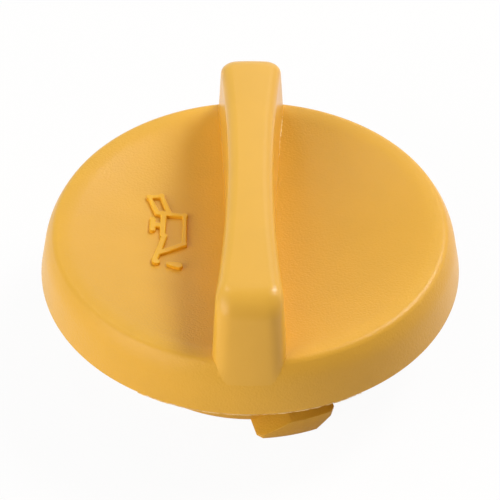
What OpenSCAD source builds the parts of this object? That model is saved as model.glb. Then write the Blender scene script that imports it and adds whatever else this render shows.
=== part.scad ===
// Oil filler cap with a waisted grip bar, a dished top and a bayonet neck.
// Millimetres, +Z up. The origin is the centre of the neck's lower end,
// which the cap rests on. The grip bar runs along Y.

/* [Skirt and rim] */
// Distance that the skirt's lower edge stands out from the neck
skirt_overhang = 10; // [9:0.25:13]
// Height of the rim's crest above the skirt's lower edge
rim_h = 8.35; // [7.6:0.05:10]
// Slope of the skirt's wall from upright, in degrees
skirt_draft = 11; // [5:0.5:14]
// Radius of the rim's outer edge
rim_edge_r = 2; // [1.4:0.1:2.6]
// Radius of the roll from the rim's crest down into the dish
rim_roll_r = 8; // [5:0.5:11]
// Wall of the skirt
skirt_wall = 2.4; // [1.8:0.1:2.8]

/* [Dish] */
// Depth of the dished top below the rim's crest
dish_depth = 5; // [3.5:0.1:6]
// Thickness of the top plate at the middle of the dish
plate_t = 2.4; // [1.8:0.1:3]

/* [Grip bar] */
// Height of the grip bar above the rim's crest
grip_rise = 10.75; // [7:0.25:14]
// Width of the grip bar's top at its waist, before the edges are rounded
grip_waist_w = 7; // [6:0.25:9]
// Width of the grip bar's top at its two ends, before they are rounded
grip_end_w = 10.4; // [9.5:0.1:12]
// Slope of the grip bar's sides from upright, in degrees
grip_draft = 2; // [1:0.25:3]
// Radius along the grip bar's long upper edges
grip_edge_r = 1.8; // [1:0.1:2.2]
// Radius over the two ends of the grip bar, seen from the side
grip_nose_r = 4; // [3.5:0.5:5.5]
// Radius of the grip bar's four corners, seen from above
grip_corner_r = 2.6; // [2.4:0.1:3.6]

/* [Grip core] */
// Wall left around the hollow under the grip bar
core_wall = 2.1; // [1.6:0.1:2.4]
// Distance from the neck's inner wall to each end of the hollow
core_end_gap = 1.4; // [0.8:0.1:3]
// Thickness of the cross ribs in the hollow
core_rib_t = 1.4; // [1:0.1:2]
// Number of cross ribs in the hollow
core_ribs = 3; // [1:1:5]

/* [Neck] */
// Outer diameter of the neck
neck_d = 46; // [43:0.5:48]
// Wall of the neck
neck_wall = 2.4; // [1.8:0.1:3]
// Distance that the neck reaches below the skirt's lower edge
neck_drop = 12; // [10:0.25:14]
// Chamfer on both edges of the neck's lower end
neck_chamfer = 0.4; // [0.2:0.05:0.6]

/* [Bayonet lugs] */
// Distance that each lug stands out from the neck
lug_reach = 3.8; // [2.5:0.1:4.5]
// Width of each lug across its two parallel side faces
lug_w = 12.3; // [9.5:0.1:15]
// Thickness of each lug
lug_t = 3; // [2.5:0.1:4]
// Length of the lead-in slope on top of each lug
lug_lead_l = 5.2; // [3:0.1:6]
// Thickness left at the tip of the lead-in slope
lug_tip_t = 0.25; // [0.2:0.05:1]
// Length of the sloping cut under each lug's trailing end
lug_heel_l = 3.1; // [1:0.1:4]
// Height of the sloping cut under each lug's trailing end
lug_heel_h = 2.6; // [1:0.1:2.7]
// Size of the corners cut off each lug's outer side
lug_corner = 0.75; // [0.5:0.05:1.5]
// Turn of the lugs from the end of the grip bar, in degrees
lug_turn = 16; // [0:1:40]

/* [Sealing ring] */
// Room between the outside of the sealing ring and the skirt's inner wall
seal_room = 1.75; // [1.4:0.05:3]
// Height of the sealing ring
seal_h = 4.6; // [3.5:0.1:5]
// Rounding of the sealing ring's lower edges
seal_edge_r = 0.8; // [0.4:0.1:1.2]
// Depth of the groove in the neck that holds the sealing ring
seal_groove = 0.5; // [0.3:0.1:1]
// Clearance between the groove and the sealing ring's bore
seal_gap = 0.05; // [0.05:0.05:0.2]

/* [Hidden] */
$fn = 120;

// Overlap that makes a cut run clean through a face
eps = 0.5;

// Heights above the neck's lower end
skirt_z = neck_drop;
crest_z = skirt_z + rim_h;
dish_z = crest_z - dish_depth;
bore_top_z = dish_z - plate_t;
grip_top_z = crest_z + grip_rise;

// Rim: the outer edge is an arc tangent to the sloping skirt, and the inner
// roll is an arc tangent to the crest and to the hollow sphere of the dish
skirt_r = neck_d / 2 + skirt_overhang;
edge_z = crest_z - rim_edge_r;
crest_r = skirt_face_r(edge_z) - rim_edge_r / cos(skirt_draft);
roll_z = crest_z - rim_roll_r;
roll_rise = roll_z - dish_z;
dish_r = (crest_r * crest_r + roll_rise * roll_rise - rim_roll_r * rim_roll_r)
    / (2 * (rim_roll_r + roll_rise));
dish_centre_z = dish_z + dish_r;
roll_share = dish_r / (dish_r + rim_roll_r);
dish_edge_r = crest_r * roll_share;
dish_edge_z = dish_centre_z + (roll_z - dish_centre_z) * roll_share;
// The dish bites this far into the roll, so that the two arcs cross
roll_bite = 0.005;

// Neck, groove and seat of the sealing ring
neck_r = neck_d / 2;
bore_r = neck_r - neck_wall;
groove_r = neck_r - seal_groove;
seat_z = skirt_z + seal_seat_depth();
seal_z = seat_z - seal_h;
seal_in_r = groove_r + seal_gap;
seal_out_r = skirt_face_r(seat_z) - skirt_wall - seal_room;
seal_steps = 8;

// Lugs
lug_r = neck_r + lug_reach;
lug_half = lug_w / 2;
lug_root_r = neck_r - neck_wall / 2;

// Grip bar: the sides are arcs that run out wider towards the ends
grip_waist = grip_waist_w / 2;
grip_flare = (grip_end_w - grip_waist_w) / 2;
grip_side_r = (crest_r * crest_r - grip_flare * grip_flare) / (2 * grip_flare) + grip_flare;
grip_side_x = grip_waist + grip_side_r;
grip_foot_z = bore_top_z + plate_t / 2;
grip_round_z = grip_top_z - grip_edge_r;
grip_block_half = 0.6 * grip_end_w;
// The end faces stand this far inside the skirt's face, and the corners bite
// this far into the faces that they join, so that no two faces coincide
grip_face_inset = 0.1;
corner_bite = 0.1;
grip_nose_z = grip_top_z - grip_nose_r;
grip_nose_x = grip_face_r(grip_nose_z) - grip_nose_r / cos(skirt_draft);
side_steps = 8;
corner_steps = 4;
end_steps = 4;

// Hollow under the grip bar
core_r = bore_r - core_end_gap;
core_corner_r = 0.8;
core_top_z = grip_top_z - core_wall;
core_rib_pitch = 2 * core_r / (core_ribs + 1);

cap_yellow = [0.93, 0.68, 0.27];
rubber_black = [0.08, 0.08, 0.09];

// Radius of the skirt's outer face at height z
function skirt_face_r(z) = skirt_r - (z - skirt_z) * tan(skirt_draft);

// Radius of the grip bar's end face at height z
function grip_face_r(z) = skirt_face_r(z) - grip_face_inset;

// Radius of the grip bar's hollow side at height z
function side_arc_r(z) = grip_side_r - (grip_round_z - z) * tan(grip_draft);

// Centre of the grip bar's +X +Y corner at height z: the corner's arc bites
// a little into the side and the end
function corner_centre(z) =
    let (
        inner = grip_face_r(z) - grip_corner_r - corner_bite,
        outer = side_arc_r(z) + grip_corner_r + corner_bite,
        x = (grip_side_x * grip_side_x + inner * inner - outer * outer) / (2 * grip_side_x)
    )
    [x, sqrt(inner * inner - x * x)];

// Height of the sealing ring's seat above the skirt's lower edge: the top
// plate keeps its thickness where the dish passes over the groove
function seal_seat_depth() = dish_surface_z(neck_r) - plate_t - skirt_z;

// Height of the dish's hollow sphere at radius r
function dish_surface_z(r) = dish_centre_z - sqrt(dish_r * dish_r - r * r);

// Points on an arc, from angle a to angle b, both ends included
function arc(cx, cy, r, a, b, steps) =
    [for (i = [0 : steps]) let (t = a + (b - a) * i / steps) [cx + r * cos(t), cy + r * sin(t)]];

// The same list of points seen in a mirror, in reverse order
function mirrored(points, sx, sy) =
    [for (i = [len(points) - 1 : -1 : 0]) [sx * points[i][0], sy * points[i][1]]];

// One quarter of a waisted outline: half the width at the waist, radius of
// the hollow side, radius of the end about the axis, radius of the corner
function waisted_quarter(half_w, side_r, end_r, corner_r) =
    let (
        side_x = half_w + side_r,
        inner = end_r - corner_r,
        outer = side_r + corner_r,
        cx = (side_x * side_x + inner * inner - outer * outer) / (2 * side_x),
        cy = sqrt(inner * inner - cx * cx),
        side_a = atan2(cy, cx - side_x),
        end_a = atan2(cy, cx)
    )
    concat(
        arc(side_x, 0, side_r, 180, side_a, side_steps),
        arc(cx, cy, corner_r, side_a - 180, end_a, corner_steps),
        arc(0, 0, end_r, end_a, 90, end_steps)
    );

// A whole waisted outline without doubled points
function waisted_outline(half_w, side_r, end_r, corner_r) =
    let (
        raw = waisted_quarter(half_w, side_r, end_r, corner_r),
        quarter = [for (i = [0 : len(raw) - 1]) if (i == 0 || norm(raw[i] - raw[i - 1]) > 0.001) raw[i]],
        n = len(quarter),
        inner = [for (i = [1 : n - 2]) quarter[i]]
    )
    concat(
        quarter, mirrored(inner, -1, 1), [[-quarter[0][0], 0]],
        [for (p = inner) [-p[0], -p[1]]], [[0, -quarter[n - 1][1]]], mirrored(inner, 1, -1)
    );

// Grip bar: a block that is cut to its waisted sides, its sloping ends and
// its round corners, from inside the top plate up
module grip_bar() {
    difference() {
        translate([-grip_block_half, -skirt_r, grip_foot_z])
            cube([2 * grip_block_half, 2 * skirt_r, grip_top_z - grip_foot_z]);
        nose_cut();
        for (side = [0, 180]) rotate([0, 0, side]) side_cut();
        for (flip = [0, 1], side = [0, 180])
            rotate([0, 0, side]) mirror([flip, 0, 0]) corner_cut();
    }
}

// Ring outside the grip bar's ends: they lean in as the skirt does, then
// round over to the top
module nose_cut() {
    foot_z = grip_foot_z - eps;
    rotate([0, 0, 45]) rotate_extrude() difference() {
        translate([grip_nose_x, foot_z])
            square([2 * grip_nose_r, grip_top_z + eps - foot_z]);
        translate([grip_nose_x, grip_nose_z]) circle(r = grip_nose_r);
        polygon([
            [grip_nose_x - eps, foot_z - eps], [grip_face_r(foot_z - eps), foot_z - eps],
            [grip_nose_x + grip_nose_r * cos(skirt_draft), grip_nose_z + grip_nose_r * sin(skirt_draft)],
            [grip_nose_x, grip_nose_z], [grip_nose_x - eps, grip_nose_z]
        ]);
    }
}

// Round body beside the grip bar that hollows its +X side, leans it in and
// rounds its upper edge
module side_cut() {
    round_x = grip_side_r + grip_edge_r;
    core_x = grip_side_r - 2 * grip_end_w;
    foot_z = grip_foot_z - eps;
    translate([grip_side_x, 0, 0]) rotate([0, 0, 30]) rotate_extrude($fn = 360)
        difference() {
            translate([core_x, foot_z]) square([round_x - core_x, grip_top_z + eps - foot_z]);
            translate([round_x, grip_round_z]) circle(r = grip_edge_r, $fn = 96);
            polygon([
                [side_arc_r(foot_z - eps), foot_z - eps], [grip_side_r, grip_round_z],
                [round_x + eps, grip_round_z], [round_x + eps, foot_z - eps]
            ]);
        }
}

// Piece outside one corner of the grip bar: it leaves a round corner whose
// axis leans in with the bar's end
module corner_cut() {
    low = corner_centre(dish_edge_z);
    high = corner_centre(grip_nose_z);
    lean = atan2(low[1] - high[1], grip_nose_z - dish_edge_z);
    side_a = atan2(low[1], low[0] - grip_side_x) - 180;
    end_a = atan2(low[1], low[0]);
    reach = 2 * grip_end_w;
    translate([low[0], low[1], dish_edge_z])
        rotate([lean, 0, 0])
        rotate([0, 0, (side_a + end_a) / 2 - 45])
        translate([0, 0, -reach / 2]) difference() {
            cube([reach, reach, 2 * reach]);
            translate([0, 0, -eps]) cylinder(r = grip_corner_r, h = 2 * (reach + eps));
        }
}

// Hollow under the grip bar, cut from inside the neck and crossed by ribs
module grip_core() {
    difference() {
        translate([0, 0, bore_top_z - eps]) linear_extrude(height = core_top_z - bore_top_z + eps)
            polygon(waisted_outline(grip_waist - core_wall / 2, grip_side_r, core_r, core_corner_r));
        for (i = [1 : core_ribs])
            translate([-grip_end_w, i * core_rib_pitch - core_r - core_rib_t / 2, bore_top_z])
                cube([2 * grip_end_w, core_rib_t, grip_top_z]);
    }
}

// Half section of the skirt, the rim and the dished top, still solid below
module crown_section() {
    difference() {
        union() {
            polygon([
                [0, skirt_z], [skirt_r, skirt_z],
                [crest_r + rim_edge_r * cos(skirt_draft), edge_z + rim_edge_r * sin(skirt_draft)],
                [crest_r, edge_z], [crest_r, crest_z - rim_edge_r / 2],
                [dish_edge_r, dish_edge_z], [0, dish_edge_z]
            ]);
            translate([crest_r, edge_z]) circle(r = rim_edge_r);
            intersection() {
                translate([crest_r, roll_z]) circle(r = rim_roll_r);
                translate([dish_edge_r, edge_z - rim_edge_r])
                    square([crest_r - dish_edge_r, 2 * rim_edge_r + eps]);
            }
        }
        translate([0, dish_centre_z]) circle(r = dish_r + roll_bite);
    }
}

// Room inside the skirt for the sealing ring and the rim of the filler hole
module skirt_recess() {
    rotate_extrude() polygon([
        [groove_r, seal_z], [skirt_face_r(seal_z) - skirt_wall, seal_z],
        [skirt_face_r(seat_z) - skirt_wall, seat_z], [groove_r, seat_z]
    ]);
}

// Tube that reaches down into the filler hole
module neck_tube() {
    rotate_extrude() polygon([
        [0, 0], [neck_r - neck_chamfer, 0], [neck_r, neck_chamfer],
        [neck_r, seat_z], [0, seat_z]
    ]);
}

// Hollow inside the neck, up to the top plate
module neck_bore() {
    rotate_extrude() polygon([
        [0, -eps], [bore_r + neck_chamfer, -eps], [bore_r + neck_chamfer, 0],
        [bore_r, neck_chamfer], [bore_r, bore_top_z], [0, bore_top_z]
    ]);
}

// One bayonet lug, pointing along -Y: lead-in slope on top at the -X end,
// sloping cut below at the +X end
module lug() {
    intersection() {
        rotate([90, 0, 0]) linear_extrude(height = lug_r + eps) polygon([
            [-lug_half, 0], [lug_half - lug_heel_l, 0], [lug_half, lug_heel_h],
            [lug_half, lug_t], [lug_lead_l - lug_half, lug_t], [-lug_half, lug_tip_t]
        ]);
        linear_extrude(height = lug_t) polygon([
            [-lug_half, -lug_root_r], [-lug_half, lug_corner - lug_side_r()],
            [lug_corner - lug_half, -lug_r - eps], [lug_half - lug_corner, -lug_r - eps],
            [lug_half, lug_corner - lug_side_r()], [lug_half, -lug_root_r]
        ]);
        cylinder(r = lug_r, h = lug_t);
    }
}

// Distance out along a lug's side face to the lug's outer radius
function lug_side_r() = sqrt(lug_r * lug_r - lug_half * lug_half);

// The whole yellow moulding
module cap_moulding() {
    color(cap_yellow) difference() {
        union() {
            rotate_extrude() crown_section();
            grip_bar();
            neck_tube();
            for (side = [0, 180]) rotate([0, 0, lug_turn + side]) lug();
        }
        skirt_recess();
        neck_bore();
        grip_core();
    }
}

// Rubber ring that seals against the filler hole's rim
module seal_ring() {
    round_z = seal_z + seal_edge_r;
    color(rubber_black) rotate_extrude() polygon(concat(
        [[seal_in_r, seat_z]],
        arc(seal_in_r + seal_edge_r, round_z, seal_edge_r, 180, 270, seal_steps),
        arc(seal_out_r - seal_edge_r, round_z, seal_edge_r, 270, 360, seal_steps),
        [[seal_out_r, seat_z]]
    ));
}

cap_moulding();
seal_ring();
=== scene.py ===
"""Dressed model of a yellow oil filler cap, with its studio and its camera.

Sizes are in millimetres and degrees until a mesh is made, and heights are
above the lower end of the neck, which the cap rests on. The grip bar runs
along Y, and its near end is at -Y.
"""

import logging
import math
from dataclasses import dataclass, field
from enum import Enum

import bmesh
import bpy
from mathutils import Matrix, Vector


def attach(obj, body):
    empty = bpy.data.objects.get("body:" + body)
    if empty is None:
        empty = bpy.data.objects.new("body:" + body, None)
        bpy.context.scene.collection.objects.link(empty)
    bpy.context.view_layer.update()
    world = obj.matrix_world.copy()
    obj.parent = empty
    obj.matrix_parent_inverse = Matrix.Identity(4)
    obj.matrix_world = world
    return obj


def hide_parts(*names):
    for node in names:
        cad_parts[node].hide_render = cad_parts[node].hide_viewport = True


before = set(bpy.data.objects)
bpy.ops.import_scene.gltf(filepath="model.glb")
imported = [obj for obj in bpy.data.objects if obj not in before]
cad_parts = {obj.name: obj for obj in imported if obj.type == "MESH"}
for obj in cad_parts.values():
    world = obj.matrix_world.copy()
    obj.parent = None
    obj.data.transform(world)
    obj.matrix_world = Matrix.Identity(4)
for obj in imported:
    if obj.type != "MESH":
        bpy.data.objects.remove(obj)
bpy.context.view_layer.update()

MM = 0.001
MERGE_MM = 0.0005
SLIVER_MM = 0.0002
BODY = "root"

log = logging.getLogger("oil_filler_cap")

Point2 = tuple[float, float]
Point3 = tuple[float, float, float]

# x, y and radius of a round corner or of a round end
RoundPoint = tuple[float, float, float]

# Point of an outline, and the direction that the outline faces there
FacingPoint = tuple[Point2, Point2]


class Slot(Enum):
    """Material slots of the record."""

    YELLOW = "yellow_plastic"
    RUBBER = "black_rubber"


class Skin(Enum):
    """Index of each finish on the moulding."""

    GRAINED = 0
    SMOOTH = 1


class How(Enum):
    """How a body is combined with another."""

    JOIN = "UNION"
    CUT = "DIFFERENCE"
    CROSS = "INTERSECT"


# Finishes


@dataclass(frozen=True)
class PlasticFinish:
    """Moulded plastic with a fine grain.

    Attributes:
        name: Name of the material.
        colour: Linear base colour.
        roughness: Roughness of the gloss.
        grain_mm: Size of the grain.
        grain_depth_mm: Depth of the grain.
        gloss: Level of the gloss, where 0.5 is that of clean plastic.
        mottle: Share by which the colour varies over the surface.
        cloud_mm: Size of the patches in which it varies.
    """

    name: str
    colour: Point3
    roughness: float
    grain_mm: float
    grain_depth_mm: float
    gloss: float = 0.5
    mottle: float = 0.04
    cloud_mm: float = 9.0

    def build(self) -> bpy.types.Material:
        """Makes the material.

        Returns:
            The new material.
        """
        material = bpy.data.materials.new(self.name)
        material.use_nodes = True
        nodes, links = material.node_tree.nodes, material.node_tree.links
        shader = nodes["Principled BSDF"]
        shader.inputs["Roughness"].default_value = self.roughness
        shader.inputs["IOR"].default_value = 1.5
        shader.inputs["Specular IOR Level"].default_value = self.gloss
        place = nodes.new("ShaderNodeTexCoord")
        cloud = nodes.new("ShaderNodeTexNoise")
        cloud.inputs["Scale"].default_value = 1 / (self.cloud_mm * MM)
        cloud.inputs["Detail"].default_value = 2.0
        tint = nodes.new("ShaderNodeValToRGB")
        low, high = tint.color_ramp.elements
        low.position, high.position = 0.3, 0.7
        low.color = (*[c * (1 - self.mottle) for c in self.colour], 1)
        high.color = (*[min(1, c * (1 + self.mottle)) for c in self.colour], 1)
        links.new(place.outputs["Object"], cloud.inputs["Vector"])
        links.new(cloud.outputs["Fac"], tint.inputs["Fac"])
        links.new(tint.outputs["Color"], shader.inputs["Base Color"])
        grain = nodes.new("ShaderNodeTexNoise")
        grain.inputs["Scale"].default_value = 1 / (self.grain_mm * MM)
        grain.inputs["Detail"].default_value = 3.0
        bump = nodes.new("ShaderNodeBump")
        bump.inputs["Distance"].default_value = self.grain_depth_mm * MM
        links.new(place.outputs["Object"], grain.inputs["Vector"])
        links.new(grain.outputs["Fac"], bump.inputs["Height"])
        links.new(bump.outputs["Normal"], shader.inputs["Normal"])
        return material


@dataclass(frozen=True)
class RubberFinish:
    """Dull black rubber.

    Attributes:
        name: Name of the material.
        colour: Linear base colour.
        roughness: Roughness of its faint gloss.
    """

    name: str = "nitrile_rubber"
    colour: Point3 = (0.03, 0.03, 0.032)
    roughness: float = 0.62

    def build(self) -> bpy.types.Material:
        """Makes the material.

        Returns:
            The new material.
        """
        material = bpy.data.materials.new(self.name)
        material.use_nodes = True
        shader = material.node_tree.nodes["Principled BSDF"]
        shader.inputs["Base Color"].default_value = (*self.colour, 1)
        shader.inputs["Roughness"].default_value = self.roughness
        return material


YELLOW_GRAINED = PlasticFinish(
    "yellow_nylon_grained", (0.76, 0.44, 0.05), roughness=0.34,
    grain_mm=0.34, grain_depth_mm=0.06, gloss=0.3, mottle=0.02,
)
YELLOW_SMOOTH = PlasticFinish(
    "yellow_nylon_smooth", (0.76, 0.45, 0.058), roughness=0.3,
    grain_mm=0.5, grain_depth_mm=0.012, gloss=0.36, mottle=0.02,
)
# Lighter, more golden copy of the moulding's yellow for the raised sign, which is the same nylon:
# painted light that its ridges catch.
YELLOW_SIGN_LIT = PlasticFinish(
    "yellow_nylon_sign", (0.85, 0.5, 0.035), roughness=0.3,
    grain_mm=0.5, grain_depth_mm=0.01, gloss=0.25, mottle=0.02,
)
# Pale yellow of the thin mould flash. It is partly painted highlight: it stands in for the bright
# glint along the skirt's lower edge and the grip bar's foot.
YELLOW_THIN_AND_GLINT = PlasticFinish(
    "yellow_nylon_thin", (0.95, 0.74, 0.34), roughness=0.3,
    grain_mm=0.5, grain_depth_mm=0.01, gloss=0.35,
)

MOULDING_FINISHES = {Skin.GRAINED: YELLOW_GRAINED, Skin.SMOOTH: YELLOW_SMOOTH}


# Objects and meshes


def link_object(name: str, data: bpy.types.ID) -> bpy.types.Object:
    """Makes an object and links it to the scene.

    Args:
        name: Name of the object.
        data: Its mesh, curve, light or camera.

    Returns:
        The object.
    """
    made = bpy.data.objects.new(name, data)
    bpy.context.scene.collection.objects.link(made)
    return made


def make_object(
    name: str, vertices: list[Point3], faces: list[list[int]]
) -> bpy.types.Object:
    """Makes a mesh object at the origin from points in millimetres.

    Args:
        name: Name of the object and its mesh.
        vertices: Points in millimetres.
        faces: Corners of each face.

    Returns:
        The linked object, with its doubled points merged and its faces outwards.
    """
    mesh = bpy.data.meshes.new(name)
    mesh.from_pydata([Vector(v) * MM for v in vertices], [], faces)
    shape = bmesh.new()
    shape.from_mesh(mesh)
    bmesh.ops.remove_doubles(shape, verts=shape.verts, dist=MERGE_MM * MM)
    bmesh.ops.dissolve_degenerate(shape, edges=shape.edges, dist=SLIVER_MM * MM)
    bmesh.ops.recalc_face_normals(shape, faces=shape.faces)
    shape.to_mesh(mesh)
    shape.free()
    return link_object(name, mesh)


def discard(made: bpy.types.Object) -> None:
    """Removes a mesh object with its mesh.

    Args:
        made: The object.
    """
    mesh = made.data
    bpy.data.objects.remove(made)
    bpy.data.meshes.remove(mesh)


def apply_modifiers(made: bpy.types.Object) -> None:
    """Turns an object and its modifiers into a plain mesh.

    Args:
        made: The object, which keeps its name.
    """
    graph = bpy.context.evaluated_depsgraph_get()
    finished = bpy.data.meshes.new_from_object(made.evaluated_get(graph))
    made.modifiers.clear()
    old = made.data
    made.data = finished
    finished.name = made.name
    bpy.data.meshes.remove(old)


def combine(made: bpy.types.Object, other: bpy.types.Object, how: How) -> None:
    """Joins, cuts or crosses an object with another, which is then removed.

    Args:
        made: The object that keeps the result.
        other: The object that is used up.
        how: Which of the three it is.
    """
    modifier = made.modifiers.new("combine", "BOOLEAN")
    modifier.operation = how.value
    modifier.solver = "EXACT"
    modifier.object = other
    apply_modifiers(made)
    discard(other)


def absorb(made: bpy.types.Object, other: bpy.types.Object) -> None:
    """Adds another object's mesh to an object as it is, and removes the other.

    Args:
        made: The object that keeps both meshes.
        other: The object that is used up.
    """
    shape = bmesh.new()
    shape.from_mesh(made.data)
    shape.from_mesh(other.data)
    shape.to_mesh(made.data)
    shape.free()
    discard(other)


def soften(
    made: bpy.types.Object, width: float, angle: float = 35.0, steps: int = 3
) -> None:
    """Rounds the sharp edges of an object.

    Args:
        made: The object.
        width: Width of the rounding in millimetres.
        angle: Edges sharper than this many degrees are rounded.
        steps: Faces across each rounding.
    """
    modifier = made.modifiers.new("soften", "BEVEL")
    modifier.width = width * MM
    modifier.segments = steps
    modifier.limit_method = "ANGLE"
    modifier.angle_limit = math.radians(angle)
    modifier.use_clamp_overlap = True
    apply_modifiers(made)


def shade(made: bpy.types.Object, angle: float = 32.0) -> None:
    """Shades an object smooth, apart from edges sharper than an angle.

    Args:
        made: The object.
        angle: The angle in degrees.
    """
    made.data.shade_smooth()
    made.data.set_sharp_from_angle(angle=math.radians(angle))


def finish_piece(made: bpy.types.Object) -> None:
    """Gives a piece its body.

    Args:
        made: The object.
    """
    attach(made, BODY)


# Outlines and simple bodies


def clamp(value: float) -> float:
    """The nearest number from 0 to 1."""
    return min(1.0, max(0.0, value))


def facing_point(
    centre: Point2, radius: float, degrees: float, facing: int = 1
) -> FacingPoint:
    """Point on an arc and the direction that the arc faces there.

    Args:
        centre: Centre of the arc.
        radius: Its radius.
        degrees: Angle of the point.
        facing: 1 where the arc faces away from its centre, -1 where it faces it.

    Returns:
        The point and its direction.
    """
    angle = math.radians(degrees)
    x, y = math.cos(angle), math.sin(angle)
    return (centre[0] + radius * x, centre[1] + radius * y), (facing * x, facing * y)


def arc(
    centre: Point2, radius: float, start: float, end: float, steps: int
) -> list[Point2]:
    """Points on an arc, both ends included.

    Args:
        centre: Centre of the arc.
        radius: Its radius.
        start: First angle in degrees.
        end: Last angle in degrees.
        steps: Number of chords.

    Returns:
        The points.
    """
    angles = [start + (end - start) * i / steps for i in range(steps + 1)]
    return [facing_point(centre, radius, angle)[0] for angle in angles]


def rounded_path(corners: list[RoundPoint], steps: int = 5) -> list[Point2]:
    """A path whose inner corners are rounded.

    Args:
        corners: Corners of the path; a radius of 0 keeps one sharp.
        steps: Chords in each rounding.

    Returns:
        The points of the path.
    """
    path: list[Point2] = []
    for i, (x, y, radius) in enumerate(corners):
        if radius <= 0 or i in (0, len(corners) - 1):
            path.append((x, y))
            continue
        here = Vector((x, y))
        back = (Vector(corners[i - 1][:2]) - here).normalized()
        on = (Vector(corners[i + 1][:2]) - here).normalized()
        half = back.angle(on) / 2
        centre = here + (back + on).normalized() * (radius / math.sin(half))
        first = here + back * (radius / math.tan(half)) - centre
        last = here + on * (radius / math.tan(half)) - centre
        turn = first.angle_signed(last)
        for k in range(steps + 1):
            point = centre + Matrix.Rotation(-turn * k / steps, 2) @ first
            path.append((point.x, point.y))
    return path


def lathe(name: str, profile: list[Point2], steps: int) -> bpy.types.Object:
    """Turns a profile about Z into a closed body.

    Args:
        name: Name of the object.
        profile: Radius and height of each point, from the axis round to the
            axis again, or a closed ring.
        steps: Number of steps in the whole turn.

    Returns:
        The object.
    """
    on_axis = profile[0][0] < 1e-6
    vertices: list[Point3] = []
    faces: list[list[int]] = []
    count = len(profile)
    for i in range(steps):
        angle = 2 * math.pi * i / steps
        vertices += [(r * math.cos(angle), r * math.sin(angle), z) for r, z in profile]
    spans = count - 1 if on_axis else count
    for i in range(steps):
        here, there = i * count, ((i + 1) % steps) * count
        for j in range(spans):
            k = (j + 1) % count
            faces.append([here + j, there + j, there + k, here + k])
    return make_object(name, vertices, faces)


def prism(name: str, outline: list[Point2], low: float, high: float) -> bpy.types.Object:
    """Upright prism.

    Args:
        name: Name of the object.
        outline: Corners seen from above.
        low: Height of its lower face.
        high: Height of its upper face.

    Returns:
        The object.
    """
    count = len(outline)
    vertices = [(x, y, low) for x, y in outline] + [(x, y, high) for x, y in outline]
    faces = [list(range(count)), list(range(count, 2 * count))]
    for i in range(count):
        j = (i + 1) % count
        faces.append([i, j, count + j, count + i])
    return make_object(name, vertices, faces)


# The moulding


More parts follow.
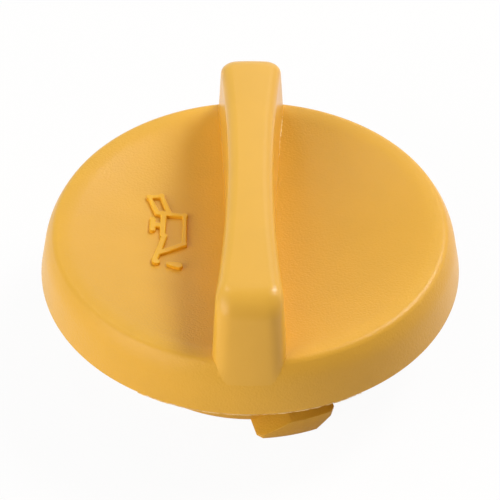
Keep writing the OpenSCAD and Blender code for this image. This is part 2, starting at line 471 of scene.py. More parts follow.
@dataclass(frozen=True)
class CrownShape:
    """Skirt, rim and dish as one profile turned about the axis.

    The solid's rim ends in one arc of rim_edge_r, and surface_z follows it.
    The rim that shows has a tight corner and a long shoulder instead, which
    lie at most 0.25 mm inside that arc.

    Attributes:
        skirt_r: Radius of the skirt's lower edge.
        skirt_z: Height of that edge.
        rim_h: Height of the rim's crest above it.
        skirt_draft: Lean of the skirt.
        rim_edge_r: Radius of the arc from the crest to the skirt.
        rim_roll_r: Radius of the roll from the crest into the dish.
        dish_depth: Depth of the dish below the crest.
        corner_in: Distance of the tight corner inside the skirt's cone.
        corner_bend: Radius of that corner.
        shoulder_in: Distance of the shoulder inside the cone.
        shoulder_drop: Depth of the shoulder below the crest.
        shoulder_bend: Radius of the shoulder.
        edge_end_drop: Depth below the shoulder at which the cone is met.
    """

    skirt_r: float = 33.0
    skirt_z: float = 12.0
    rim_h: float = 8.35
    skirt_draft: float = 11.0
    rim_edge_r: float = 2.0
    rim_roll_r: float = 8.0
    dish_depth: float = 5.0
    corner_in: float = 0.9
    corner_bend: float = 1.3
    shoulder_in: float = 0.04
    shoulder_drop: float = 2.15
    shoulder_bend: float = 8.0
    edge_end_drop: float = 1.6

    @property
    def crest_z(self) -> float:
        """Height of the rim's crest."""
        return self.skirt_z + self.rim_h

    @property
    def edge_z(self) -> float:
        """Height of the centre of the arc from the crest to the skirt."""
        return self.crest_z - self.rim_edge_r

    @property
    def crest_r(self) -> float:
        """Radius of the rim's crest."""
        lean = math.radians(self.skirt_draft)
        return self.face_r(self.edge_z) - self.rim_edge_r / math.cos(lean)

    @property
    def roll_z(self) -> float:
        """Height of the centre of the roll from the crest into the dish."""
        return self.crest_z - self.rim_roll_r

    @property
    def dish_z(self) -> float:
        """Height of the middle of the dish."""
        return self.crest_z - self.dish_depth

    @property
    def dish_r(self) -> float:
        """Radius of the hollow sphere of the dish, tangent to the roll.

        Returns:
            The radius.
        """
        rise = self.roll_z - self.dish_z
        squares = self.crest_r**2 + rise**2 - self.rim_roll_r**2
        return squares / (2 * (self.rim_roll_r + rise))

    @property
    def dish_centre_z(self) -> float:
        """Height of the centre of that sphere."""
        return self.dish_z + self.dish_r

    @property
    def dish_edge_r(self) -> float:
        """Radius at which the dish meets the roll."""
        return self.crest_r * self.dish_r / (self.dish_r + self.rim_roll_r)

    def face_r(self, z: float) -> float:
        """Radius of the skirt's outer face at a height."""
        return self.skirt_r - (z - self.skirt_z) * math.tan(math.radians(self.skirt_draft))

    def surface_z(self, r: float) -> float:
        """Height of the upper surface at a distance from the axis.

        Args:
            r: The distance. Past the end of the rim's arc, that end counts.

        Returns:
            The height.
        """
        if r <= self.dish_edge_r:
            return self.dish_centre_z - math.sqrt(self.dish_r**2 - r * r)
        if r <= self.crest_r:
            return self.roll_z + math.sqrt(self.rim_roll_r**2 - (r - self.crest_r) ** 2)
        edge_reach = self.rim_edge_r * math.cos(math.radians(self.skirt_draft))
        reach = min(r - self.crest_r, edge_reach)
        return self.edge_z + math.sqrt(self.rim_edge_r**2 - reach**2)

    def top_profile(self) -> list[Point2]:
        """Profile from the axis over the dish, the roll and the rim.

        Returns:
            Radius and height of each point, down to the skirt's cone.
        """
        dish_steps, roll_steps, edge_steps = 44, 14, 9
        radii = [self.dish_edge_r * i / dish_steps for i in range(dish_steps)]
        points = [(r, self.surface_z(r)) for r in radii]
        start = math.degrees(math.acos((self.dish_edge_r - self.crest_r) / self.rim_roll_r))
        points += arc((self.crest_r, self.roll_z), self.rim_roll_r, start, 90, roll_steps)
        corner_r = self.face_r(self.crest_z) - self.corner_in
        shoulder_z = self.crest_z - self.shoulder_drop
        shoulder_r = self.face_r(shoulder_z) - self.shoulder_in
        end_z = shoulder_z - self.edge_end_drop
        edge = rounded_path([
            (self.crest_r, self.crest_z, 0),
            (corner_r, self.crest_z, self.corner_bend),
            (shoulder_r, shoulder_z, self.shoulder_bend),
            (self.face_r(end_z), end_z, 0),
        ], edge_steps)
        return points + edge[1:]


@dataclass(frozen=True)
class WaistedOutline:
    """Outline with hollow sides, ends about the axis and round corners.

    Attributes:
        half_waist: Half of its width at the waist.
        side_r: Radius of its hollow sides.
        end_r: Distance of its ends from the axis.
        corner_r: Radius of its corners.
    """

    half_waist: float
    side_r: float
    end_r: float
    corner_r: float

    def quarter(self, steps: tuple[int, int, int]) -> list[FacingPoint]:
        """Points and outward directions of the quarter at +X +Y.

        Args:
            steps: Chords in half a side, in a corner and in half an end.

        Returns:
            The points from the waist to the end's middle.
        """
        side_steps, corner_steps, end_steps = steps
        side_x = self.half_waist + self.side_r
        inner = self.end_r - self.corner_r
        outer = self.side_r + self.corner_r
        x = (side_x**2 + inner**2 - outer**2) / (2 * side_x)
        y = math.sqrt(inner**2 - x**2)
        side_a = math.degrees(math.atan2(y, x - side_x))
        end_a = math.degrees(math.atan2(y, x))
        points = []
        for i in range(side_steps):
            angle = 180 + (side_a - 180) * i / side_steps
            points.append(facing_point((side_x, 0), self.side_r, angle, -1))
        for i in range(corner_steps):
            angle = side_a - 180 + (end_a - side_a + 180) * i / corner_steps
            points.append(facing_point((x, y), self.corner_r, angle))
        for i in range(end_steps + 1):
            angle = end_a + (90 - end_a) * i / end_steps
            points.append(facing_point((0, 0), self.end_r, angle))
        return points

    def around(self, steps: tuple[int, int, int]) -> list[FacingPoint]:
        """The whole outline, counter-clockwise from the waist at +X.

        Args:
            steps: Chords in half a side, in a corner and in half an end.

        Returns:
            The points and their directions, without doubles.
        """
        first = self.quarter(steps)
        second = [((-p[0], p[1]), (-n[0], n[1])) for p, n in reversed(first)][1:]
        half = first + second
        return half + [((-p[0], -p[1]), (-n[0], -n[1])) for p, n in half][1:-1]


@dataclass
class GripBar:
    """Waisted bar across the dish, with drafted sides and rounded edges.

    Attributes:
        crown: Crown that it stands on.
        rise: Height of its top above the rim's crest.
        waist_w: Width of its waist.
        end_w: Width to which its sides flare at the crest's radius.
        draft: Lean of its sides.
        edge_r: Radius of its upper edges.
        nose_r: Radius from its top to its end faces.
        corner_r: Radius from its sides to its end faces.
        end_inset: Distance of its end faces inside the skirt's cone.
        foot_r: Radius of the fillet along its foot in the dish.
        fillet_start: Angle of the fillet's lowest ring.
        fillet_end_r: Distance from the axis at which the fillet has faded out.
        fillet_fade: Length over which it fades.
        sink: Depth of its underside below the dish.
        plate_end_r: Distance from the axis at which its underside leaves the dish.
        plate_fade: Length over which its underside drops into the skirt's wall.
        wall_z: Height of its underside in that wall.
        rim_end_r: Distance from the axis at which its foot stops following the rim.
        steps: Chords in half a side, in a corner and in half an end.
    """

    crown: CrownShape
    rise: float = 10.75
    waist_w: float = 7.0
    end_w: float = 10.4
    draft: float = 2.0
    edge_r: float = 1.8
    nose_r: float = 4.0
    corner_r: float = 2.6
    end_inset: float = 0.02
    foot_r: float = 0.04
    fillet_start: float = 8.0
    fillet_end_r: float = 27.5
    fillet_fade: float = 3.0
    sink: float = 1.0
    plate_end_r: float = 29.2
    plate_fade: float = 1.8
    wall_z: float = 17.0
    rim_end_r: float = 31.2
    steps: tuple[int, int, int] = (22, 8, 6)

    @property
    def top_z(self) -> float:
        """Height of its top."""
        return self.crown.crest_z + self.rise

    @property
    def nose_z(self) -> float:
        """Height of the centre of the radius from its top to its end faces."""
        return self.top_z - self.nose_r

    @property
    def side_r(self) -> float:
        """Radius of its hollow sides at the top."""
        flare = (self.end_w - self.waist_w) / 2
        return (self.crown.crest_r**2 - flare**2) / (2 * flare) + flare

    def end_r(self, z: float) -> float:
        """Distance of its end face from the axis, rounded over to the top.

        Args:
            z: Height on the end face.

        Returns:
            The distance.
        """
        lean = math.radians(self.crown.skirt_draft)
        if z <= self.nose_z + self.nose_r * math.sin(lean):
            return self.crown.face_r(z) - self.end_inset
        nose_face = self.crown.face_r(self.nose_z) - self.end_inset
        centre = nose_face - self.nose_r / math.cos(lean)
        return centre + math.sqrt(max(0.0, self.nose_r**2 - (z - self.nose_z) ** 2))

    def side_inset(self, z: float) -> float:
        """Distance that the rounded upper edge draws the side in.

        Args:
            z: Height on the side.

        Returns:
            The distance.
        """
        up = z - (self.top_z - self.edge_r)
        if up <= 0:
            return 0.0
        return self.edge_r - math.sqrt(max(0.0, self.edge_r**2 - up * up))

    def outline(self, z: float) -> WaistedOutline:
        """Its outline at a height.

        Args:
            z: The height.

        Returns:
            The outline.
        """
        side_x = self.waist_w / 2 + self.side_r
        below_edge = max(0.0, self.top_z - self.edge_r - z)
        lean = below_edge * math.tan(math.radians(self.draft))
        inset = self.side_inset(z)
        half = self.waist_w / 2 + lean - inset
        return WaistedOutline(half, side_x - half, self.end_r(z), self.corner_r - inset)

    def ring(self, heights: list[float], reaches: list[float] | None = None) -> list[Point3]:
        """One ring of the loft, whose points have heights of their own.

        Args:
            heights: Height of each point.
            reaches: Distance that each point stands out from the outline.

        Returns:
            The points of the ring.
        """
        points = []
        for i, z in enumerate(heights):
            point, out = self.outline(z).around(self.steps)[i]
            reach = reaches[i] if reaches else 0.0
            points.append((point[0] + out[0] * reach, point[1] + out[1] * reach, z))
        return points

    def foot_rings(self) -> list[list[Point3]]:
        """Rings of the underside and of the fillet along the foot.

        Returns:
            The rings from below.
        """
        crown, fillet_steps = self.crown, 6
        flat = self.outline(crown.crest_z).around(self.steps)
        under, fade = [], []
        for point, _ in flat:
            r = math.hypot(*point)
            share = clamp((r - self.plate_end_r) / self.plate_fade)
            plate_z = crown.surface_z(min(r, self.plate_end_r)) - self.sink
            under.append(plate_z * (1 - share) + self.wall_z * share)
            fade.append(self.foot_r * clamp((self.fillet_end_r - r) / self.fillet_fade))
        rings = [self.ring(under, fade)]
        for k in range(fillet_steps + 1):
            turned = (90 - self.fillet_start) * k / fillet_steps
            angle = math.radians(self.fillet_start + turned)
            reaches = [f * (1 - math.sin(angle)) for f in fade]
            up = self.foot_r * (1 - math.cos(angle))
            heights = []
            for (point, out), reach in zip(flat, reaches):
                r = math.hypot(point[0] + out[0] * reach, point[1] + out[1] * reach)
                heights.append(crown.surface_z(min(r, self.rim_end_r)) + up)
            rings.append(self.ring(heights, reaches))
        return rings

    def build(self) -> bpy.types.Object:
        """Lofts the bar from inside the top plate to its top.

        Returns:
            The bar as a closed body.
        """
        wall_steps, nose_steps = 8, 34
        rings = self.foot_rings()
        foot = [point[2] for point in rings[-1]]
        for k in range(1, wall_steps + 1):
            share = k / wall_steps
            rings.append(self.ring([z + (self.nose_z - z) * share for z in foot]))
        for k in range(1, nose_steps + 1):
            z = self.nose_z + self.nose_r * math.sin(math.radians(90 * k / nose_steps))
            rings.append(self.ring([z] * len(foot)))
        return self.skin(rings)

    def skin(self, rings: list[list[Point3]]) -> bpy.types.Object:
        """Covers the rings and fills the top and the foot with cross strips.

        Args:
            rings: Rings from the foot up.

        Returns:
            The bar.
        """
        count = len(rings[0])
        vertices = [point for ring in rings for point in ring]
        faces = []
        for k in range(len(rings) - 1):
            low, high = k * count, (k + 1) * count
            for i in range(count):
                j = (i + 1) % count
                faces.append([low + i, low + j, high + j, high + i])
        quarter = count // 4
        for start in (0, (len(rings) - 1) * count):
            right = [start + (i - quarter) % count for i in range(2 * quarter + 1)]
            left = [start + (3 * quarter - i) % count for i in range(2 * quarter + 1)]
            for i in range(2 * quarter):
                faces.append([right[i], right[i + 1], left[i + 1], left[i]])
        return make_object("grip_bar", vertices, faces)


@dataclass
class BayonetLug:
    """Lug at the neck's end: lead-in slope on top, sloping cut below.

    Attributes:
        neck_r: Outer radius of the neck.
        root: Depth to which it goes on in the neck's wall.
        reach: Distance that it stands out from the neck.
        width: Its width around the neck.
        thick: Its height.
        lead_l: Length of the lead-in slope.
        tip_t: Height left at the slope's thin end.
        heel_l: Length of the sloping cut at the other end.
        heel_h: Height of that cut.
        corner: Size of the cut at its outer corners.
        turn: Turn of the first lug from the grip bar's near end.
        edge: Width of the rounding of its edges.
        lift: Height of its lower face above the neck's end.
        spare: Distance that its section and its plan run past each other.
    """

    neck_r: float = 23.0
    root: float = 1.2
    reach: float = 3.8
    width: float = 12.3
    thick: float = 3.0
    lead_l: float = 5.2
    tip_t: float = 0.25
    heel_l: float = 3.1
    heel_h: float = 2.6
    corner: float = 0.75
    turn: float = 16.0
    edge: float = 0.08
    lift: float = 0.02
    spare: float = 1.0

    def build(self, side: float) -> bpy.types.Object:
        """Makes one lug.

        Args:
            side: Turn about the axis in degrees, 0 or 180.

        Returns:
            The lug.
        """
        half = self.width / 2
        inner, outer = self.neck_r - self.root, self.neck_r + self.reach
        section = [
            (-half, self.lift), (half - self.heel_l, self.lift), (half, self.heel_h),
            (half, self.thick), (self.lead_l - half, self.thick), (-half, self.tip_t),
        ]
        lug = prism("lug", section, inner - 3 * self.spare, outer + self.spare)
        lug.data.transform(Matrix.Rotation(math.radians(90), 4, "X"))
        flank = math.degrees(math.asin((half - self.corner) / outer))
        flank_y = self.corner - math.sqrt(outer**2 - half**2)
        tip = arc((0, 0), outer, 270 - flank, 270 + flank, 16)
        plan = [(-half, -inner), (-half, flank_y), *tip, (half, flank_y), (half, -inner)]
        plan_body = prism("lug_plan", plan, -self.spare, self.thick + self.spare)
        combine(lug, plan_body, How.CROSS)
        soften(lug, self.edge)
        lug.data.transform(Matrix.Rotation(math.radians(self.turn + side), 4, "Z"))
        return lug


@dataclass
class GripCore:
    """Hollow under the grip bar, crossed by ribs.

    Attributes:
        grip: The grip bar.
        bore_top_z: Height of the face that it opens on.
        wall: Thickness left above it, and half of it at each side of the waist.
        end_r: Distance of its ends from the axis.
        corner_r: Radius of its corners.
        rib_t: Thickness of a rib.
        ribs: Number of ribs.
        edge: Width of the rounding of its edges.
        spare: Distance that the cutter runs past the face it opens on.
    """

    grip: GripBar
    bore_top_z: float
    wall: float = 2.1
    end_r: float = 19.2
    corner_r: float = 0.8
    rib_t: float = 1.4
    ribs: int = 3
    edge: float = 0.3
    spare: float = 0.6

    def build(self) -> bpy.types.Object:
        """Makes the body that cuts the hollow.

        Returns:
            The cutter.
        """
        grip = self.grip
        half = grip.waist_w / 2 - self.wall / 2
        outline = WaistedOutline(half, grip.side_r, self.end_r, self.corner_r)
        points = [point for point, _ in outline.around((12, 5, 4))]
        low_z = self.bore_top_z - self.spare
        cutter = prism("grip_core", points, low_z, grip.top_z - self.wall)
        pitch = 2 * self.end_r / (self.ribs + 1)
        x = grip.end_w
        for i in range(1, self.ribs + 1):
            y = i * pitch - self.end_r
            near, far = y - self.rib_t / 2, y + self.rib_t / 2
            plan = [(-x, near), (x, near), (x, far), (-x, far)]
            combine(cutter, prism("rib", plan, self.bore_top_z, grip.top_z), How.CUT)
        soften(cutter, self.edge)
        return cutter


@dataclass
class Moulding:
    """The yellow moulding: crown, grip bar, neck and lugs in one piece.

    Attributes:
        crown: Shape of the skirt, rim and dish.
        skirt_wall: Thickness of the skirt.
        plate_t: Thickness of the top plate.
        neck_r: Outer radius of the neck.
        neck_wall: Thickness of the neck.
        groove: Depth of the sealing ring's groove.
        seal_h: Height of the sealing ring.
        neck_edge_r: Radius of the edges at the neck's end.
        skirt_edge_r: Radius of the edges of the skirt's lower end.
        seat_corner_r: Radius from the skirt's inside to the seat.
        groove_corner_r: Radius of the groove's corners.
        bore_corner_r: Radius from the neck's inside to the top plate.
        turn_steps: Steps around the axis.
    """

    crown: CrownShape = field(default_factory=CrownShape)
    skirt_wall: float = 2.4
    plate_t: float = 2.4
    neck_r: float = 23.0
    neck_wall: float = 2.4
    groove: float = 0.5
    seal_h: float = 4.6
    neck_edge_r: float = 0.4
    skirt_edge_r: float = 0.3
    seat_corner_r: float = 0.5
    groove_corner_r: float = 0.1
    bore_corner_r: float = 0.6
    turn_steps: int = 288

    @property
    def seat_z(self) -> float:
        """Height of the sealing ring's seat."""
        return self.crown.surface_z(self.neck_r) - self.plate_t

    @property
    def seal_z(self) -> float:
        """Height of the sealing ring's lower face."""
        return self.seat_z - self.seal_h

    @property
    def bore_top_z(self) -> float:
        """Height of the top plate's underside inside the neck."""
        return self.crown.dish_z - self.plate_t

    def profile(self) -> list[Point2]:
        """Profile of the turned body, from the axis round to the axis.

        Returns:
            Radius and height of each point.
        """
        crown = self.crown
        skirt_inner_r = crown.skirt_r - self.skirt_wall
        seat_outer_r = crown.face_r(self.seat_z) - self.skirt_wall
        bore_r = self.neck_r - self.neck_wall
        groove_r = self.neck_r - self.groove
        top = crown.top_profile()
        under = rounded_path([
            (*top[-1], 0),
            (crown.skirt_r, crown.skirt_z, self.skirt_edge_r),
            (skirt_inner_r, crown.skirt_z, self.skirt_edge_r),
            (seat_outer_r, self.seat_z, self.seat_corner_r),
            (groove_r, self.seat_z, self.groove_corner_r),
            (groove_r, self.seal_z, self.groove_corner_r),
            (self.neck_r, self.seal_z, self.groove_corner_r),
            (self.neck_r, 0, self.neck_edge_r),
            (bore_r, 0, self.neck_edge_r),
            (bore_r, self.bore_top_z, self.bore_corner_r),
            (0, self.bore_top_z, 0),
        ])
        return top + under[1:]

    def build(self) -> bpy.types.Object:
        """Makes the moulding.

        Returns:
            The moulding, with the grip bar's faces on their own finish.
        """
        body = lathe("cap_body", self.profile(), self.turn_steps)
        grip = GripBar(self.crown)
        bar = grip.build()
        for skin in Skin:
            material = MOULDING_FINISHES[skin].build()
            body.data.materials.append(material)
            bar.data.materials.append(material)
        skins = [Skin.SMOOTH.value] * len(bar.data.polygons)
        bar.data.polygons.foreach_set("material_index", skins)
        lug = BayonetLug(neck_r=self.neck_r)
        for side in (0, 180):
            combine(body, lug.build(side), How.JOIN)
        combine(body, bar, How.JOIN)
        combine(body, GripCore(grip, self.bore_top_z).build(), How.CUT)
        return body

    def dress(self, body: bpy.types.Object) -> None:
        """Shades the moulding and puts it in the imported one's place.

        Args:
            body: The moulding.
        """
        shade(body)
        finish_piece(body)
        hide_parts("cap_moulding")


@dataclass
class SealRing:
    """The rubber ring in the neck's groove.

    Attributes:
        moulding: Moulding that it sits in.
        clearance: Room between the ring and the groove's bottom.
        room: Room between the ring and the skirt.
        edge_r: Radius of its lower edges.
        seat_edge_r: Radius of its upper edges.
        turn_steps: Steps around the axis.
    """

    moulding: Moulding
    clearance: float = 0.05
    room: float = 1.75
    edge_r: float = 0.8
    seat_edge_r: float = 0.15
    turn_steps: int = 192

    def build(self) -> bpy.types.Object:
        """Makes the ring.

        Returns:
            The ring.
        """
        moulding = self.moulding
        top, low = moulding.seat_z, moulding.seal_z
        inner = moulding.neck_r - moulding.groove + self.clearance
        outer = moulding.crown.face_r(top) - moulding.skirt_wall - self.room
        on_seat = (inner + 1, top, 0)
        path = rounded_path([
            on_seat, (inner, top, self.seat_edge_r), (inner, low, self.edge_r),
            (outer, low, self.edge_r), (outer, top, self.seat_edge_r), on_seat,
        ])
        ring = lathe("sealing_ring", path[:-1], self.turn_steps)
        ring.data.materials.append(RubberFinish().build())
        return ring

    def dress(self, ring: bpy.types.Object) -> None:
        """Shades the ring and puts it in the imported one's place.

        Args:
            ring: The ring.
        """
        shade(ring)
        finish_piece(ring)
        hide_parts("seal_ring")


# Fine work on the moulding


class Flow:
    """Geometry node tree with a named input for each size.

    The tree takes a curve or a mesh, and ends by making its copies real and
    giving them a material.
    """

    def __init__(self, name: str, sizes: dict[str, float]) -> None:
        """Starts the tree.

        Args:
            name: Name of the tree.
            sizes: Name and value of each size, in metres or as a plain number.
        """
        self.sizes = sizes
        self.tree = bpy.data.node_groups.new(name, "GeometryNodeTree")
        face = self.tree.interface
        face.new_socket("Geometry", in_out="INPUT", socket_type="NodeSocketGeometry")
        for label in sizes:
            face.new_socket(label, in_out="INPUT", socket_type="NodeSocketFloat")
        face.new_socket("Geometry", in_out="OUTPUT", socket_type="NodeSocketGeometry")
        self.start = self.tree.nodes.new("NodeGroupInput")
        self.end = self.tree.nodes.new("NodeGroupOutput")

    @property
    def source(self) -> bpy.types.NodeSocket:
        """The socket of the curve or mesh that the tree takes."""
        return self.start.outputs[0]

    def size(self, label: str) -> bpy.types.NodeSocket:
        """The socket of a named size."""
        return self.start.outputs[label]

    def add(
        self, kind: str, settings: dict[str, str] | None = None, **inputs: object
    ) -> bpy.types.NodeSocket:
        """Adds a node.

        Args:
            kind: Type of the node.
            settings: Properties of the node.
            **inputs: Value or source socket of each input, with _ for a space,
                or a list of source sockets for an input that takes several.

        Returns:
            The node's first output.
        """
        node = self.tree.nodes.new(kind)
        for label, value in (settings or {}).items():
            setattr(node, label, value)
        for label, value in inputs.items():
            named = [i for i in node.inputs if i.name.replace(" ", "_") == label]
            socket = next(i for i in named if i.enabled)
            if isinstance(value, bpy.types.NodeSocket):
                self.tree.links.new(value, socket)
            elif isinstance(value, list):
                for source in value:
                    self.tree.links.new(source, socket)
            else:
                socket.default_value = value
        return node.outputs[0]

    def run(
        self, made: bpy.types.Object, last: bpy.types.NodeSocket, material: bpy.types.Material
    ) -> bpy.types.Object:
        """Ends the tree, runs it on an object and returns the plain mesh.

        Args:
            made: Curve or mesh object that the tree starts from; it is removed.
            last: Socket of the finished geometry.
            material: Material of the result.

        Returns:
            A mesh object of the same name.
        """
        real = self.add("GeometryNodeRealizeInstances", Geometry=last)
        dressed = self.add("GeometryNodeSetMaterial", Geometry=real, Material=material)
        self.tree.links.new(dressed, self.end.inputs[0])
        modifier = made.modifiers.new(self.tree.name, "NODES")
        modifier.node_group = self.tree
        for item in self.tree.interface.items_tree:
            if item.in_out == "INPUT" and item.name in self.sizes:
                modifier[item.identifier] = self.sizes[item.name]
        graph = bpy.context.evaluated_depsgraph_get()
        mesh = bpy.data.meshes.new_from_object(made.evaluated_get(graph))
        name = made.name
        bpy.data.objects.remove(made)
        mesh.name = name
        return link_object(name, mesh)


def stroke_curve(name: str, strokes: list[list[Point3]]) -> bpy.types.Object:
    """Curve object with one open line for each stroke.

    Args:
        name: Name of the object.
        strokes: Points of each stroke in millimetres.

    Returns:
        The object.
    """
    data = bpy.data.curves.new(name, "CURVE")
    data.dimensions = "3D"
    for stroke in strokes:
        line = data.splines.new("POLY")
        line.points.add(len(stroke) - 1)
        for point, place in zip(line.points, stroke):
            point.co = (*[c * MM for c in place], 1)
    return link_object(name, data)


@dataclass
class OilCanSign:
    """Raised sign of an oil can on the dish, drawn in ridges.

    The can lies on its side as seen from the grip bar's near end, and its
    spout points to -Y.

    Attributes:
        crown: Crown whose dish it lies on.
        width: Width of a ridge.
        rise: Height of a ridge above the dish.
        sink: Depth of a ridge below the dish.
        edge: Radius of a ridge's edges.
        fineness: Size of the cells in which the ridges are merged.
        eases: Rounds of easing that take away the cells' steps.
        drop_ends: Narrow and wide end of the drop.
    """

    crown: CrownShape
    width: float = 0.98
    rise: float = 0.58
    sink: float = 0.3
    edge: float = 0.14
    fineness: float = 0.07
    eases: int = 4
    drop_ends: tuple[RoundPoint, RoundPoint] = ((-12.55, -5.93, 0.4), (-11.08, -6.08, 0.7))

    def strokes(self) -> list[list[Point2]]:
        """Lines of the can, its front, its handle, its spout and its knob.

        Returns:
            The lines, seen from above.
        """
        can = [(-14.75, 5.55), (-10.4, 5.65), (-10.35, -0.85), (-13.9, -3.35)]
        front = [(-13.75, 5.6), (-13.75, 0.7)]
        handle = [(-14.75, 5.55), (-16.1, 8.75), (-14.2, 9.35), (-12.8, 5.6)]
        spout = [(-13.45, 0.55), (-14.2, -2.9), (-14.75, -5.3), (-14.65, -5.8), (-14.35, -5.75)]
        knob = [(-15.4, 3.95), (-15.4, 1.75)]
        stem = [(-15.4, 2.85), (-13.8, 2.95)]
        return [can, front, handle, spout, knob, stem]

    def drop_outline(self) -> list[Point2]:
        """Outline of the drop: two round ends, joined by straight sides.

        Returns:
            The outline, seen from above.
        """
        (x0, y0, r0), (x1, y1, r1) = self.drop_ends
        along = math.degrees(math.atan2(y1 - y0, x1 - x0))
        side = math.degrees(math.acos((r0 - r1) / math.hypot(x1 - x0, y1 - y0)))
        wide = arc((x1, y1), r1, along - side, along + side, 14)
        narrow = arc((x0, y0), r0, along + side, along + 360 - side, 10)
        return wide + narrow

    def ridges(self, material: bpy.types.Material) -> bpy.types.Object:
        """Runs a ridge along each stroke, with a disc at each corner and end.

        Args:
            material: Their material.

        Returns:
            The ridges, level at height 0.
        """
        middle = (self.rise - self.sink) / 2
        lines = [[(x, y, middle) for x, y in stroke] for stroke in self.strokes()]
        flow = Flow("ridges_along_strokes", {
            "Width": self.width * MM,
            "Half Width": self.width / 2 * MM,
            "Height": (self.rise + self.sink) * MM,
            "Edge": self.edge * MM,
        })
        section = flow.add(
            "GeometryNodeCurvePrimitiveQuadrilateral",
            Width=flow.size("Width"), Height=flow.size("Height"),
        )
        rounded = flow.add("GeometryNodeFilletCurve", Curve=section, Radius=flow.size("Edge"))
        upright = flow.add("GeometryNodeSetCurveNormal", {"mode": "Z_UP"}, Curve=flow.source)
        ridge = flow.add(
            "GeometryNodeCurveToMesh", Curve=upright, Profile_Curve=rounded, Fill_Caps=True
        )
        corners = flow.add("GeometryNodeCurveToPoints", {"mode": "EVALUATED"}, Curve=flow.source)
        disc = flow.add(
            "GeometryNodeMeshCylinder",
            Vertices=24, Radius=flow.size("Half Width"), Depth=flow.size("Height"),
        )
        discs = flow.add("GeometryNodeInstanceOnPoints", Points=corners, Instance=disc)
        whole = flow.add("GeometryNodeJoinGeometry", Geometry=[ridge, discs])
        return flow.run(stroke_curve("oil_can_sign", lines), whole, material)

    def build(self) -> bpy.types.Object:
        """Merges the ridges and the drop, and lays them on the dish.

        Returns:
            The sign.
        """
        # The sign's lighter yellow is painted light on its ridges, not a colour of its own.
        material = YELLOW_SIGN_LIT.build()
        sign = self.ridges(material)
        absorb(sign, prism("drop", self.drop_outline(), -self.sink, self.rise))
        merge = sign.modifiers.new("merge", "REMESH")
        merge.mode = "VOXEL"
        merge.voxel_size = self.fineness * MM
        ease = sign.modifiers.new("ease", "SMOOTH")
        ease.factor, ease.iterations = 0.5, self.eases
        apply_modifiers(sign)
        sign.data.materials.clear()
        sign.data.materials.append(material)
        sign.data.polygons.foreach_set("material_index", [0] * len(sign.data.polygons))
        for vertex in sign.data.vertices:
            r = math.hypot(vertex.co.x, vertex.co.y) / MM
            vertex.co.z += self.crown.surface_z(r) * MM
        return sign

    def dress(self, sign: bpy.types.Object) -> None:
        """Shades the sign.

        Args:
            sign: The sign.
        """
        sign.data.shade_smooth()
        finish_piece(sign)


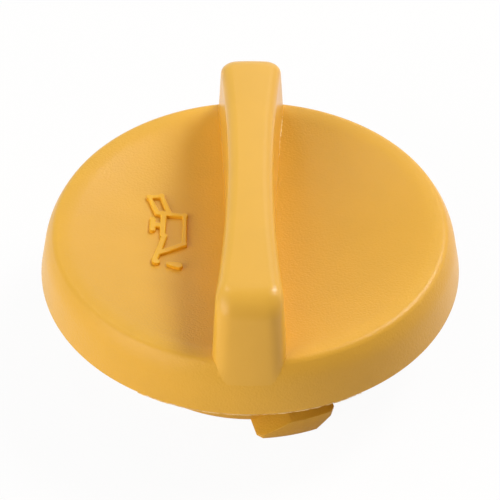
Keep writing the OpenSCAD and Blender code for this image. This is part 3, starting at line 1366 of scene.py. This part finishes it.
@dataclass
class MouldFlash:
    """Thin ragged flash that the mould left on the skirt and on the grip bar, in a pale yellow
    that is partly painted highlight.

    One bead runs along the skirt's lower edge, and one along the foot of the
    grip bar's +X side in its far half.

    Attributes:
        crown: Crown with the skirt and the dish.
        grip: The grip bar.
        grain: Length of a speck of flash.
        least: Share of the bead's radius that is left where it is bare.
        fullness: Rise of the noise from bare to the full radius.
        skirt_reach: Largest radius of the skirt's bead.
        skirt_rise: Share of that radius by which the bead's middle is raised.
        skirt_bare: Level of the noise below which the skirt is bare.
        skirt_start: First angle of the skirt's bead.
        skirt_end: Last angle of the skirt's bead.
        foot_reach: Largest radius of the foot's bead.
        foot_bare: Level of the noise below which the foot is bare.
        foot_near: Distance of the foot's bead from the waist at its near end.
        foot_far: Distance of the foot's bead from the waist at its far end.
    """

    crown: CrownShape
    grip: GripBar
    grain: float = 0.9
    least: float = 0.08
    fullness: float = 0.3
    skirt_reach: float = 0.11
    skirt_rise: float = 0.4
    skirt_bare: float = 0.35
    skirt_start: float = 240.0
    skirt_end: float = 300.0
    foot_reach: float = 0.24
    foot_bare: float = 0.4
    foot_near: float = 19.0
    foot_far: float = 26.9

    def skirt_line(self) -> list[Point3]:
        """Line along the skirt's lower edge.

        Returns:
            The points of the line.
        """
        crown = self.crown
        z = crown.skirt_z + self.skirt_reach * self.skirt_rise
        edge_r = crown.skirt_r - self.skirt_reach
        edge = arc((0, 0), edge_r, self.skirt_start, self.skirt_end, 480)
        return [(x, y, z) for x, y in edge]

    def foot_line(self) -> list[Point3]:
        """Line along the foot of the grip bar's +X side.

        Returns:
            The points of the line.
        """
        crown, steps = self.crown, 160
        outline = self.grip.outline(crown.surface_z((self.foot_near + self.foot_far) / 2))
        side_x = outline.half_waist + outline.side_r
        line = []
        for i in range(steps + 1):
            y = self.foot_near + (self.foot_far - self.foot_near) * i / steps
            x = side_x - math.sqrt(outline.side_r**2 - y * y)
            line.append((x, y, crown.surface_z(math.hypot(x, y))))
        return line

    def bead(
        self, name: str, line: list[Point3], reach: float, bare: float,
        material: bpy.types.Material,
    ) -> bpy.types.Object:
        """Runs a ragged bead along a line.

        Args:
            name: Name of the bead.
            line: Points of its middle line.
            reach: Its largest radius.
            bare: Level of the noise, from 0 to 1, below which the bead nearly vanishes.
            material: Its material.

        Returns:
            The bead.
        """
        flow = Flow(name, {
            "Reach": reach * MM,
            "Bare": bare,
            "Full": bare + self.fullness,
            "Grain": 1 / (self.grain * MM),
            "Least": self.least,
        })
        section = flow.add(
            "GeometryNodeCurvePrimitiveCircle", Resolution=6, Radius=flow.size("Reach")
        )
        noise = flow.add("ShaderNodeTexNoise", Scale=flow.size("Grain"), Detail=4.0)
        spread = flow.add(
            "ShaderNodeMapRange", Value=noise, From_Min=flow.size("Bare"),
            From_Max=flow.size("Full"), To_Min=flow.size("Least"), To_Max=1.0,
        )
        bead = flow.add(
            "GeometryNodeCurveToMesh", Curve=flow.source, Profile_Curve=section,
            Fill_Caps=True, Scale=spread,
        )
        return flow.run(stroke_curve(name, [line]), bead, material)

    def build(self) -> bpy.types.Object:
        """Makes both beads.

        Returns:
            The flash.
        """
        # The flash's pale colour is partly painted highlight along these edges.
        material = YELLOW_THIN_AND_GLINT.build()
        flash = self.bead(
            "mould_flash", self.skirt_line(), self.skirt_reach, self.skirt_bare, material
        )
        foot = self.bead(
            "foot_flash", self.foot_line(), self.foot_reach, self.foot_bare, material
        )
        absorb(flash, foot)
        return flash

    def dress(self, flash: bpy.types.Object) -> None:
        """Shades the flash.

        Args:
            flash: The flash.
        """
        flash.data.shade_smooth()
        finish_piece(flash)


# Studio


def direction(azimuth: float, elevation: float) -> Vector:
    """Unit vector from the cap to a place around it.

    Args:
        azimuth: Degrees from +X towards +Y.
        elevation: Degrees above the horizon.

    Returns:
        The vector.
    """
    a, e = math.radians(azimuth), math.radians(elevation)
    return Vector((math.cos(a) * math.cos(e), math.sin(a) * math.cos(e), math.sin(e)))


def seen_by_eye(nodes: bpy.types.Nodes, links: bpy.types.NodeLinks) -> bpy.types.NodeSocket:
    """Picks the rays that show the background to the eye, also in gloss and glass.

    Args:
        nodes: Nodes of the material or world.
        links: Its links.

    Returns:
        The socket that is 1 for such a ray.
    """
    rays = nodes.new("ShaderNodeLightPath")
    last = rays.outputs["Is Camera Ray"]
    for kind in ("Is Glossy Ray", "Is Transmission Ray"):
        either = nodes.new("ShaderNodeMath")
        either.operation = "MAXIMUM"
        links.new(last, either.inputs[0])
        links.new(rays.outputs[kind], either.inputs[1])
        last = either.outputs[0]
    return last


@dataclass
class Lamp:
    """One soft lamp.

    Attributes:
        name: Its name.
        azimuth: Direction that it stands in, degrees from +X towards +Y.
        elevation: Its height above the horizon in degrees.
        distance: Its distance from the cap in metres.
        size: Its width in metres.
        level: Light on a surface that faces it, where 1 shows a colour as written.
        colour: Its tint.
    """

    name: str
    azimuth: float
    elevation: float
    distance: float
    size: float
    level: float
    colour: Point3 = (1.0, 1.0, 1.0)

    def build(self, target: Vector) -> None:
        """Makes the lamp.

        Args:
            target: Point that it faces.
        """
        away = direction(self.azimuth, self.elevation)
        data = bpy.data.lights.new(self.name, "AREA")
        data.shape = "SQUARE"
        data.size = self.size
        data.color = self.colour
        data.energy = self.level * math.pi**2 * self.distance**2
        lamp = link_object(self.name, data)
        lamp.location = target + away * self.distance
        lamp.rotation_mode = "QUATERNION"
        lamp.rotation_quaternion = away.to_track_quat("Z", "Y")


# Tint of the low lamps that make the shaded faces redder
WARM = (1.55, 1.0, 0.45)

LAMPS = (
    Lamp("key", 38, 49, 0.6, 0.2, 0.61),
    Lamp("left", 195, 42, 0.6, 0.5, 0.21),
    Lamp("left_front", 225, 30, 0.6, 0.4, 0.2, WARM),
    Lamp("left_low", 215, 15, 0.6, 0.5, 0.52),
    Lamp("right_low", 20, 25, 0.6, 0.4, 0.25, WARM),
    Lamp("back", 75, 35, 0.6, 0.3, 0.08),
    Lamp("back_left", 125, 57, 0.6, 0.15, 0.1),
)


@dataclass
class Studio:
    """White floor, soft lamps and the camera at the photograph's angle.

    Attributes:
        azimuth: Direction that the camera stands in.
        elevation: Its height above the horizon in degrees.
        distance: Its distance from the point that it aims at.
        lens: Its focal length.
        aim_z: Height of that point on the cap's axis.
        shift_x: Sideways shift of its frame, as a share of its width.
        ambient: Strength of the even light.
        floor_reach: Distance of the floor's edges from the cap in metres.
        floor_grey: Colour of the floor in the light that falls on the cap.
        floor_white: Share of plain white in the floor that the eye sees.
    """

    azimuth: float = 270.23
    elevation: float = 42.3553
    distance: float = 290.0
    lens: float = 132.56
    aim_z: float = 14.4505
    shift_x: float = -0.0004
    ambient: float = 0.03
    floor_reach: float = 1.5
    floor_grey: float = 0.86
    floor_white: float = 0.95

    def build(self) -> None:
        """Makes the floor, the world, the lamps and the camera."""
        self.build_floor()
        self.build_world()
        for lamp in LAMPS:
            lamp.build(Vector((0, 0, self.aim_z * MM)))
        self.build_camera()

    def build_floor(self) -> None:
        """Makes the white floor that the cap stands on."""
        reach, grey = self.floor_reach, self.floor_grey
        mesh = bpy.data.meshes.new("floor")
        corners = [(-reach, -reach, 0), (reach, -reach, 0), (reach, reach, 0), (-reach, reach, 0)]
        mesh.from_pydata(corners, [], [[0, 1, 2, 3]])
        floor = link_object("floor", mesh)
        material = bpy.data.materials.new("white_floor")
        material.use_nodes = True
        nodes, links = material.node_tree.nodes, material.node_tree.links
        shader = nodes["Principled BSDF"]
        shader.inputs["Base Color"].default_value = (grey, grey, grey, 1)
        shader.inputs["Roughness"].default_value = 0.9
        shader.inputs["Specular IOR Level"].default_value = 0.0
        glow = nodes.new("ShaderNodeEmission")
        glow.inputs["Strength"].default_value = 1.0
        mix = nodes.new("ShaderNodeMixShader")
        share = nodes.new("ShaderNodeMath")
        share.operation = "MULTIPLY"
        share.inputs[1].default_value = self.floor_white
        links.new(seen_by_eye(nodes, links), share.inputs[0])
        links.new(share.outputs[0], mix.inputs["Fac"])
        links.new(shader.outputs[0], mix.inputs[1])
        links.new(glow.outputs[0], mix.inputs[2])
        links.new(mix.outputs[0], nodes["Material Output"].inputs["Surface"])
        mesh.materials.append(material)

    def build_world(self) -> None:
        """Makes the even light, which the eye sees as white."""
        world = bpy.data.worlds.new("studio")
        world.use_nodes = True
        bpy.context.scene.world = world
        nodes, links = world.node_tree.nodes, world.node_tree.links
        room = nodes["Background"]
        room.inputs["Color"].default_value = (1, 1, 1, 1)
        room.inputs["Strength"].default_value = self.ambient
        white = nodes.new("ShaderNodeBackground")
        white.inputs["Color"].default_value = (1, 1, 1, 1)
        white.inputs["Strength"].default_value = 1.0
        mix = nodes.new("ShaderNodeMixShader")
        links.new(seen_by_eye(nodes, links), mix.inputs["Fac"])
        links.new(room.outputs[0], mix.inputs[1])
        links.new(white.outputs[0], mix.inputs[2])
        links.new(mix.outputs[0], nodes["World Output"].inputs["Surface"])

    def build_camera(self) -> None:
        """Makes the camera."""
        data = bpy.data.cameras.new("camera")
        data.sensor_width = 36.0
        data.lens = self.lens
        data.shift_x = self.shift_x
        data.clip_start = 0.01
        data.clip_end = 10.0
        back = direction(self.azimuth, self.elevation)
        tilt = math.pi / 2 - math.radians(self.elevation)
        turn = math.radians(self.azimuth) + math.pi / 2
        camera = link_object("camera", data)
        camera.location = (Vector((0, 0, self.aim_z)) + back * self.distance) * MM
        camera.rotation_euler = (tilt, 0, turn)
        bpy.context.scene.camera = camera
        bpy.context.scene.view_settings.view_transform = "Standard"


def main() -> None:
    """Builds the cap and its studio."""
    logging.basicConfig(level=logging.INFO, format="%(name)s: %(message)s")
    moulding = Moulding()
    makers = (
        moulding,
        OilCanSign(moulding.crown),
        MouldFlash(moulding.crown, GripBar(moulding.crown)),
        SealRing(moulding),
    )
    for maker in makers:
        piece = maker.build()
        maker.dress(piece)
        log.info("%s: %d faces", piece.name, len(piece.data.polygons))
    Studio().build()


if __name__ == "__main__":
    main()
